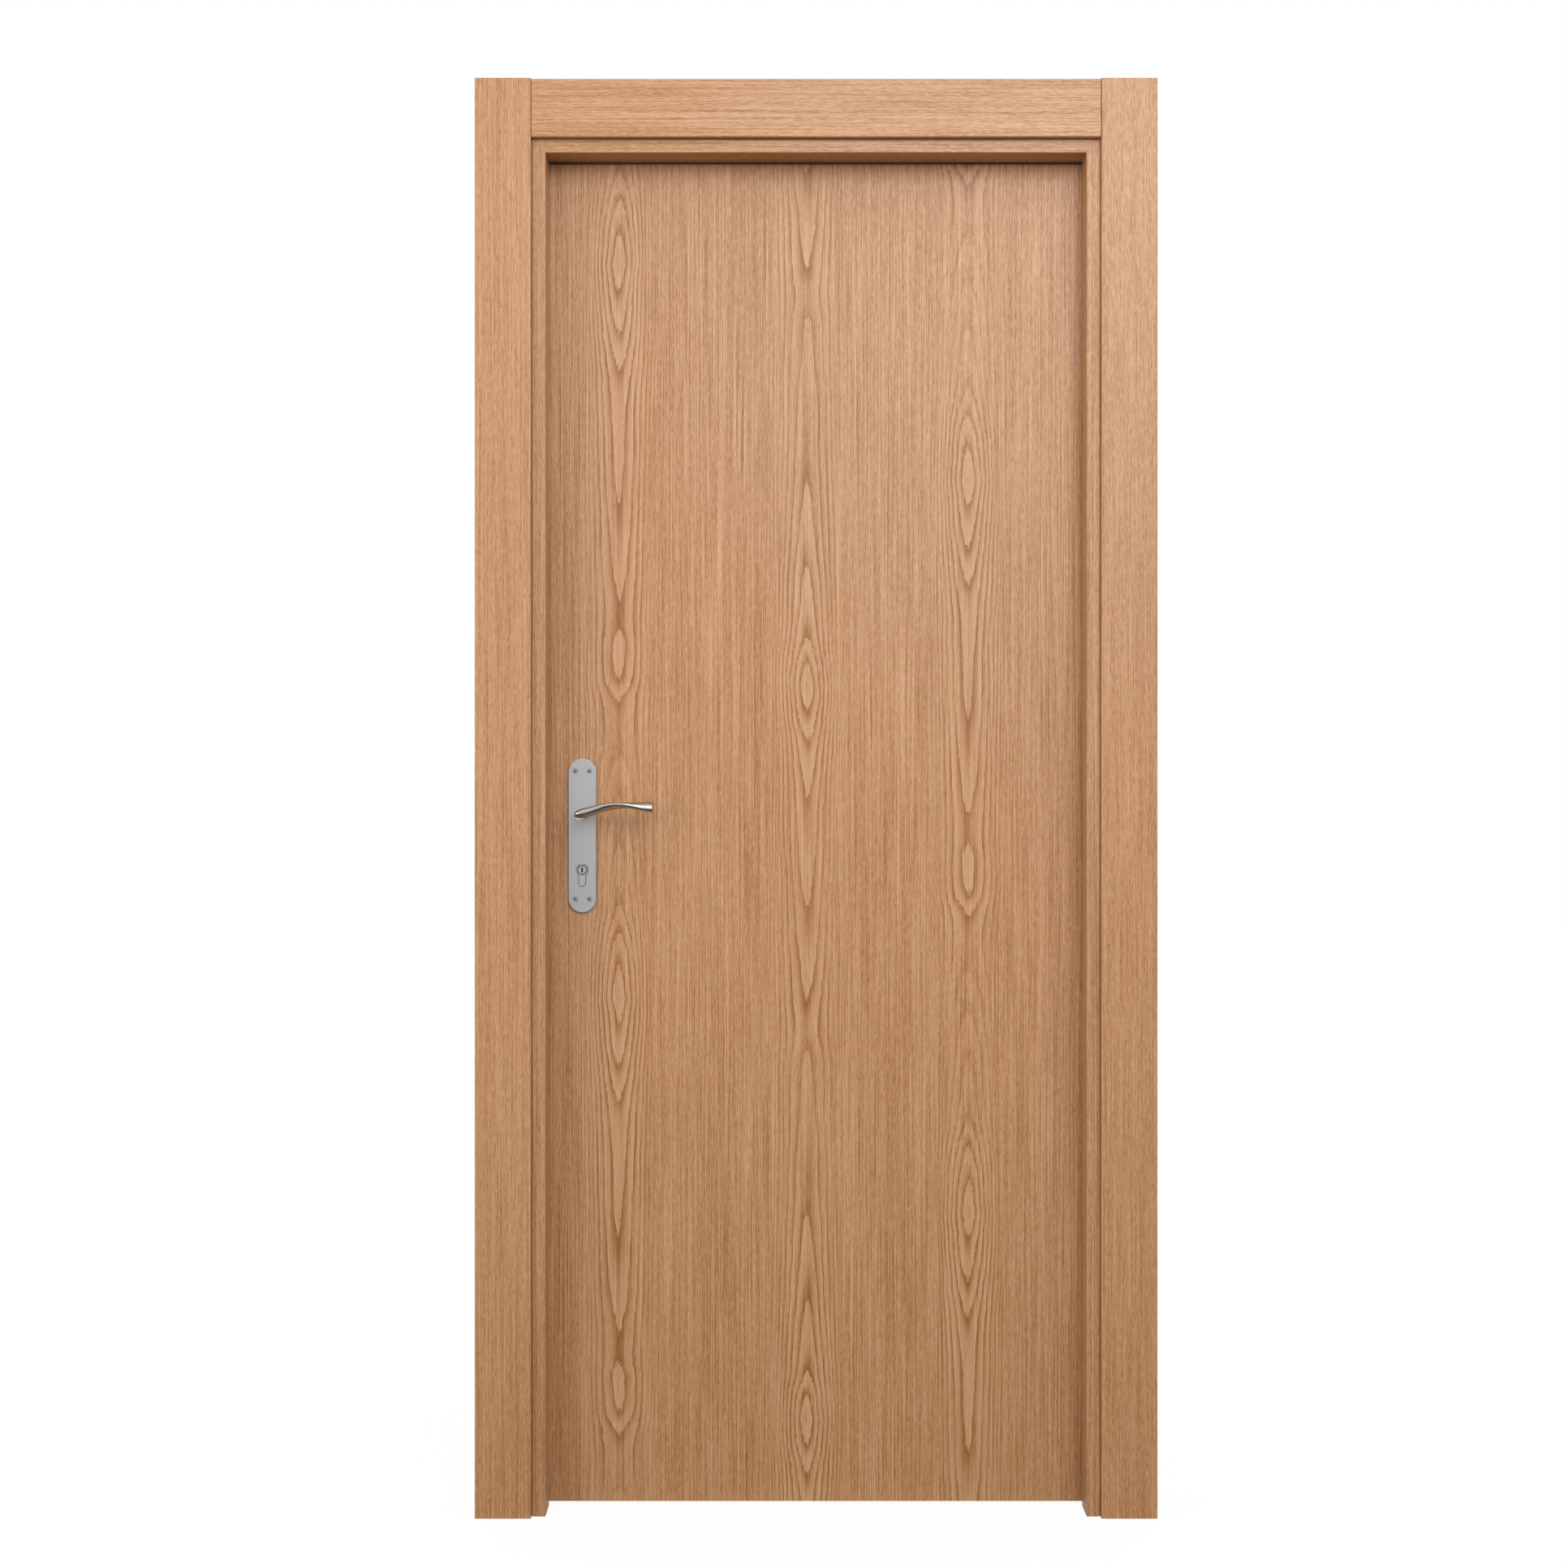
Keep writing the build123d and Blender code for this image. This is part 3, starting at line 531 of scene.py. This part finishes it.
def add_screw(mesh, place, sizes, turn):
    """One countersunk screw with a cross recess, its flat top centred on place and facing along its Z."""
    first = len(mesh.verts)
    arm = 0.19 * sizes.head_radius
    reach = 0.74 * sizes.head_radius
    quarter = [Vector((reach, -arm, 0)), Vector((reach, arm, 0)), Vector((arm, arm, 0))]
    outline = []
    for step in range(4):
        spin = Matrix.Rotation(math.pi / 2 * step, 3, "Z")
        outline += [mesh.verts.new(spin @ corner) for corner in quarter]
    cross = mesh.faces.new(outline)

    rim = grow(mesh, cross.edges[:], 1.0, 0.0)
    bmesh.ops.subdivide_edges(mesh, edges=rim, cuts=1)
    mesh.verts.ensure_lookup_table()
    round_top = set(mesh.verts[first + len(outline):])
    for vert in round_top:
        vert.co = vert.co.normalized() * sizes.head_radius
    rim = [e for e in mesh.edges if round_top.issuperset(e.verts)]
    cone = grow(mesh, rim, 1 - sizes.head_depth / sizes.head_radius, -sizes.head_depth)
    shank = grow(mesh, cone, 1.0, -sizes.head_depth - sizes.shank_length)
    bmesh.ops.edgeloop_fill(mesh, edges=shank)

    pit = bmesh.ops.extrude_discrete_faces(mesh, faces=[cross])["faces"][0]
    for vert in pit.verts:
        vert.co = Vector((vert.co.x * 0.7, vert.co.y * 0.7, -sizes.recess_depth))

    # Only the flat top has the steel's colour: the recess and the cone are painted near-black, as painted
    # shade in the hollows
    mesh.verts.ensure_lookup_table()
    for face in {face for vert in mesh.verts[first:] for face in vert.link_faces}:
        face.material_index = 0 if all(vert.co.z == 0 for vert in face.verts) else 1
    bmesh.ops.transform(mesh, matrix=place @ Matrix.Rotation(turn, 4, "Z"), verts=mesh.verts[first:])


def screw_set(name, body, points, facing, sizes, materials):
    """Add a named piece of several screws, all sunk in one face, that rides on a body."""
    facing = Vector(facing)
    aim = facing.to_track_quat("Z", "Y").to_matrix().to_4x4()
    mesh = bmesh.new()
    for number, point in enumerate(points):
        place = Matrix.Translation(Vector(point) - facing * sizes.sunk) @ aim
        add_screw(mesh, place, sizes, math.radians(17 + 41 * number))
    bmesh.ops.recalc_face_normals(mesh, faces=mesh.faces[:])
    data = bpy.data.meshes.new(name)
    mesh.to_mesh(data)
    mesh.free()
    for material in materials:
        data.materials.append(material)
    piece = bpy.data.objects.new(name, data)
    bpy.context.scene.collection.objects.link(piece)
    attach(piece, body)


class DressLeaf(bpy.types.Operator):
    """Face the leaf with figured oak veneer"""
    bl_idname = "front_door.dress_leaf"
    bl_label = "Dress the leaf"

    def execute(self, context):
        scene = context.scene
        dress(figured_oak("crown_cut_oak_veneer", scene.door_oak, scene.door_grain), SKINS)
        return {"FINISHED"}


class DressTimber(bpy.types.Operator):
    """Give jambs, architraves, lippings and the leaf's core their timber"""
    bl_idname = "front_door.dress_timber"
    bl_label = "Dress the timber"

    def execute(self, context):
        scene = context.scene
        for number, node in enumerate(UPRIGHTS):
            shift = (3.7 * number + 11.0, 5.3 * number, 2.9 * number)
            oak = straight_oak(f"lacquered_oak_{node}", False, shift, scene.door_oak, scene.door_grain)
            dress(oak, [node])
        for number, node in enumerate(CROSSPIECES):
            shift = (4.1 * number + 31.0, 6.7 * number, 3.3 * number)
            oak = straight_oak(f"lacquered_oak_{node}", True, shift, scene.door_oak, scene.door_grain)
            dress(oak, [node])
        dress(core_timber("raw_pressed_wood", scene.door_oak, scene.door_grain), CORE_PIECES)
        return {"FINISHED"}


class DressSeals(bpy.types.Operator):
    """Give the seals round the stop their brown rubber"""
    bl_idname = "front_door.dress_seals"
    bl_label = "Dress the seals"

    def execute(self, context):
        dress(soft_rubber("brown_seal_rubber", linear("#4A2E1C")), SEALS)
        return {"FINISHED"}


class DressMetal(bpy.types.Operator):
    """Give plates, levers, cylinder, hinges and lock their metal finishes"""
    bl_idname = "front_door.dress_metal"
    bl_label = "Dress the metal"

    def execute(self, context):
        metal = context.scene.door_metal
        dress(grained_metal("satin_anodised_aluminium", metal.satin_aluminium, 0.42, 0.04, 1.2 * MM, 1),
              PLATES)
        dress(grained_metal("polished_nickel", metal.polished_nickel, 0.1, 0.02, 2 * MM, 1), LEVERS)
        dress(grained_metal("nickel_plated_brass", metal.nickel_brass, 0.4, 0.04, 1.2 * MM, 1),
              ("cylinder_body",) + PLUGS)
        dress(grained_metal("satin_brushed_steel", metal.satin_steel, 0.34, 0.06, 1.2 * MM, 12),
              HINGE_HALVES + LOCK_PIECES)
        return {"FINISHED"}


class AddScrews(bpy.types.Operator):
    """Seat the countersunk screws of backplates, strike plate, forend and hinges"""
    bl_idname = "front_door.add_screws"
    bl_label = "Add the screws"

    def execute(self, context):
        scene = context.scene
        sizes = scene.door_screws
        bright = grained_metal("bright_screw_steel", scene.door_metal.screw_steel, 0.38, 0.04, 1.0 * MM, 1)
        # The screws' recesses and cones take a near-black painted shade
        dark = grained_metal("painted_shade_steel", scene.door_metal.painted_shade, 0.5, 0.05, 1.0 * MM, 1)
        steel = (bright, dark)
        for node, facing in zip(PLATES, (-1, 1)):
            low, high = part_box(node)
            face_y = low[1] if facing < 0 else high[1]
            middle_x = (low[0] + high[0]) / 2
            points = [
                (middle_x + side * sizes.plate_spacing / 2, face_y, high[2] - drop)
                for side in (-1, 1)
                for drop in (sizes.plate_top, sizes.plate_foot)
            ]
            screw_set(f"{node}_screws", "leaf", points, (0, facing, 0), sizes, steel)

        edge_plates = (
            ("strike_plate", "frame", 1, sizes.strike_inset),
            ("forend", "leaf", -1, sizes.forend_inset),
        )
        for node, body, facing, inset in edge_plates:
            low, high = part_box(node)
            face_x = high[0] if facing > 0 else low[0]
            middle_y = (low[1] + high[1]) / 2
            points = [(face_x, middle_y, level) for level in (low[2] + inset, high[2] - inset)]
            screw_set(f"{node}_screws", body, points, (facing, 0, 0), sizes, steel)

        for node in HINGE_HALVES:
            low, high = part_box(node)
            body, facing, back_x = ("leaf", 1, low[0]) if "leaf" in node else ("frame", -1, high[0])
            face_x = back_x + facing * sizes.hinge_plate
            middle_z = (low[2] + high[2]) / 2
            points = [
                (face_x, low[1] + sizes.hinge_middle, middle_z + step * sizes.hinge_pitch)
                for step in (-1, 0, 1)
            ]
            screw_set(f"{node}_screws", body, points, (facing, 0, 0), sizes, steel)
        return {"FINISHED"}


class AddKeyways(bpy.types.Operator):
    """Seat near-black wards in the keyway of each plug and a dark ring round it, both painted shade"""
    bl_idname = "front_door.add_keyways"
    bl_label = "Add the keyways"

    def execute(self, context):
        scene = context.scene
        sizes = scene.door_keyway
        # Near-black painted shade for the keyway and the ring round each plug
        dark = grained_metal("painted_shade_brass", scene.door_metal.painted_shade, 0.5, 0.05, 1.0 * MM, 1)
        for node, facing in zip(PLUGS, (-1, 1)):
            low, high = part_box(node)
            face_y = low[1] if facing < 0 else high[1]
            middle = Vector((
                (low[0] + high[0]) / 2,
                face_y - facing * (sizes.sunk + sizes.length / 2),
                (low[2] + high[2]) / 2,
            ))
            mesh = bmesh.new()
            bmesh.ops.create_cube(mesh, size=1.0)
            bmesh.ops.scale(mesh, vec=(sizes.width, sizes.length, sizes.height), verts=mesh.verts)
            bmesh.ops.translate(mesh, vec=middle, verts=mesh.verts)

            # The painted shade ring: a flat near-black ring that lies mostly outside the plug's edge,
            # standing in for the shade of the gap round the plug
            rim = (high[0] - low[0]) / 2 + sizes.groove_width * 0.17
            inside = rim - sizes.groove_width / 2
            outside = rim + sizes.groove_width / 2
            front = face_y - facing * sizes.groove_depth
            back = front - facing * sizes.groove_depth
            section = ((inside, front), (outside, front), (outside, back), (inside, back))
            corners = [mesh.verts.new((middle.x + radius, y, middle.z)) for radius, y in section]
            edges = [mesh.edges.new((corners[step - 1], corners[step])) for step in range(4)]
            bmesh.ops.spin(
                mesh, geom=corners + edges, cent=middle, axis=(0, 1, 0), angle=2 * math.pi, steps=48,
                use_merge=True)
            bmesh.ops.recalc_face_normals(mesh, faces=mesh.faces[:])
            data = bpy.data.meshes.new(f"{node}_wards")
            mesh.to_mesh(data)
            mesh.free()
            data.materials.append(dark)
            piece = bpy.data.objects.new(f"{node}_wards", data)
            scene.collection.objects.link(piece)
            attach(piece, "leaf")
        return {"FINISHED"}


class BuildStage(bpy.types.Operator):
    """Set out the pale floor, the soft lamps, the background and the camera"""
    bl_idname = "front_door.build_stage"
    bl_label = "Build the stage"

    def execute(self, context):
        scene = context.scene
        stage = scene.door_stage
        scene.view_settings.view_transform = "Standard"

        mesh = bmesh.new()
        bmesh.ops.create_circle(mesh, cap_ends=True, radius=FLOOR_RADIUS, segments=96)
        data = bpy.data.meshes.new("floor")
        mesh.to_mesh(data)
        mesh.free()
        floor = bpy.data.objects.new("floor", data)
        scene.collection.objects.link(floor)

        # Matt pale floor: it looks white and takes the door's shadow. It throws little light back close
        # to the door, and in metal and lacquer it shows dark close before the door and grey further off
        material = bpy.data.materials.new("matt_studio_floor")
        material.use_nodes = True
        tree = material.node_tree
        tree.nodes.clear()
        place = add(tree, "ShaderNodeTexCoord").outputs["Object"]
        depth = add(tree, "ShaderNodeSeparateXYZ", {"Vector": place}).outputs["Y"]
        distance = add(tree, "ShaderNodeMath", {0: depth}, operation="ABSOLUTE").outputs[0]
        near = add(tree, "ShaderNodeMapRange", {
            "Value": distance, "From Min": 0.4, "From Max": 1.4, "To Min": 1.0, "To Max": 0.0,
        }, interpolation_type="SMOOTHSTEP").outputs["Result"]
        rays = add(tree, "ShaderNodeLightPath").outputs
        mirrored = add(tree, "ShaderNodeMath", {0: rays["Is Glossy Ray"], 1: rays["Is Transmission Ray"]},
                       operation="MAXIMUM").outputs[0]
        dim = add(tree, "ShaderNodeMath", {0: near, 1: mirrored}, operation="MAXIMUM").outputs[0]
        colour = add(tree, "ShaderNodeValToRGB", {"Fac": dim})
        colour.color_ramp.elements[0].color = (*stage.floor_colour, 1)
        colour.color_ramp.elements[1].color = (*(0.2 * c for c in stage.floor_colour), 1)
        front = add(tree, "ShaderNodeMapRange", {
            "Value": depth, "From Min": -0.15, "From Max": 0.1, "To Min": stage.front_shade, "To Max": 1.0,
        }, interpolation_type="SMOOTHSTEP").outputs["Result"]
        beyond = add(tree, "ShaderNodeMapRange", {
            "Value": depth, "From Min": -2.6, "From Max": -1.2, "To Min": 0.6, "To Max": 0.0,
        }, interpolation_type="SMOOTHSTEP").outputs["Result"]
        front = add(tree, "ShaderNodeMath", {0: front, 1: beyond}, operation="MAXIMUM").outputs[0]
        seen = add(tree, "ShaderNodeMath", {0: mirrored, 1: front, 2: rays["Is Camera Ray"]},
                   operation="MULTIPLY_ADD").outputs[0]
        glow = add(tree, "ShaderNodeMapRange", {
            "Value": near, "To Min": stage.floor_glow, "To Max": 0.95,
        }).outputs["Result"]
        glow = add(tree, "ShaderNodeMath", {0: seen, 1: glow}, operation="MULTIPLY").outputs[0]
        matt = add(tree, "ShaderNodeBsdfDiffuse", {"Color": colour.outputs["Color"]}).outputs[0]
        white = add(tree, "ShaderNodeEmission", {"Strength": glow}).outputs[0]
        both = add(tree, "ShaderNodeAddShader", {0: matt, 1: white}).outputs[0]
        add(tree, "ShaderNodeOutputMaterial", {"Surface": both})
        data.materials.append(material)

        world = bpy.data.worlds.new("studio")
        world.use_nodes = True
        tree = world.node_tree
        tree.nodes.clear()
        rays = add(tree, "ShaderNodeLightPath").outputs
        seen = add(tree, "ShaderNodeMath", {0: rays["Is Camera Ray"], 1: rays["Is Glossy Ray"]},
                   operation="MAXIMUM").outputs[0]
        seen = add(tree, "ShaderNodeMath", {0: seen, 1: rays["Is Transmission Ray"]},
                   operation="MAXIMUM").outputs[0]
        level = add(tree, "ShaderNodeMapRange", {
            "Value": seen, "To Min": stage.fill, "To Max": 1.0,
        }).outputs["Result"]
        sky = add(tree, "ShaderNodeBackground", {"Color": (1, 1, 1, 1), "Strength": level}).outputs[0]
        add(tree, "ShaderNodeOutputWorld", {"Surface": sky})
        scene.world = world

        lamps = (
            ("key_softbox", stage.key_power, 1.6, KEY_PLACE),
            ("side_softbox", stage.side_power, 2.0, SIDE_PLACE),
        )
        for name, power, size, location in lamps:
            lamp = bpy.data.lights.new(name, "AREA")
            lamp.shape = "SQUARE"
            lamp.size = size
            lamp.energy = power
            softbox = bpy.data.objects.new(name, lamp)
            softbox.location = location
            aim = LAMP_TARGET - softbox.location
            softbox.rotation_euler = aim.to_track_quat("-Z", "Y").to_euler()
            scene.collection.objects.link(softbox)

        eye = bpy.data.cameras.new("viewpoint")
        eye.lens = 50.0
        eye.sensor_width = 36.0
        camera = bpy.data.objects.new("viewpoint", eye)
        camera.location = CAMERA_PLACE
        camera.rotation_euler = (math.pi / 2, 0.0, 0.0)
        scene.collection.objects.link(camera)
        scene.camera = camera
        return {"FINISHED"}


class FrontDoorPanel(bpy.types.Panel):
    """Front door settings and steps"""
    bl_label = "Front door"
    bl_idname = "VIEW3D_PT_front_door"
    bl_space_type = "VIEW_3D"
    bl_region_type = "UI"
    bl_category = "Front door"

    def draw(self, context):
        scene = context.scene
        for group in SETTINGS:
            box = self.layout.box()
            settings = getattr(scene, group)
            for name in settings.bl_rna.properties.keys():
                if name not in {"rna_type", "name"}:
                    box.prop(settings, name)
        for step in STEPS:
            self.layout.operator(step.bl_idname)


SETTINGS = {
    "door_oak": OakColours,
    "door_grain": GrainSizes,
    "door_metal": MetalColours,
    "door_screws": ScrewSizes,
    "door_keyway": KeywaySizes,
    "door_stage": StageSettings,
}
STEPS = (DressLeaf, DressTimber, DressSeals, DressMetal, AddScrews, AddKeyways, BuildStage)


def register():
    for name, group in SETTINGS.items():
        bpy.utils.register_class(group)
        setattr(bpy.types.Scene, name, bpy.props.PointerProperty(type=group))
    for step in STEPS:
        bpy.utils.register_class(step)
    bpy.utils.register_class(FrontDoorPanel)


def unregister():
    bpy.utils.unregister_class(FrontDoorPanel)
    for step in reversed(STEPS):
        bpy.utils.unregister_class(step)
    for name, group in SETTINGS.items():
        delattr(bpy.types.Scene, name)
        bpy.utils.unregister_class(group)


def main():
    register()
    bpy.ops.front_door.dress_leaf()
    bpy.ops.front_door.dress_timber()
    bpy.ops.front_door.dress_seals()
    bpy.ops.front_door.dress_metal()
    bpy.ops.front_door.add_screws()
    bpy.ops.front_door.add_keyways()
    bpy.ops.front_door.build_stage()


if __name__ == "__main__":
    main()
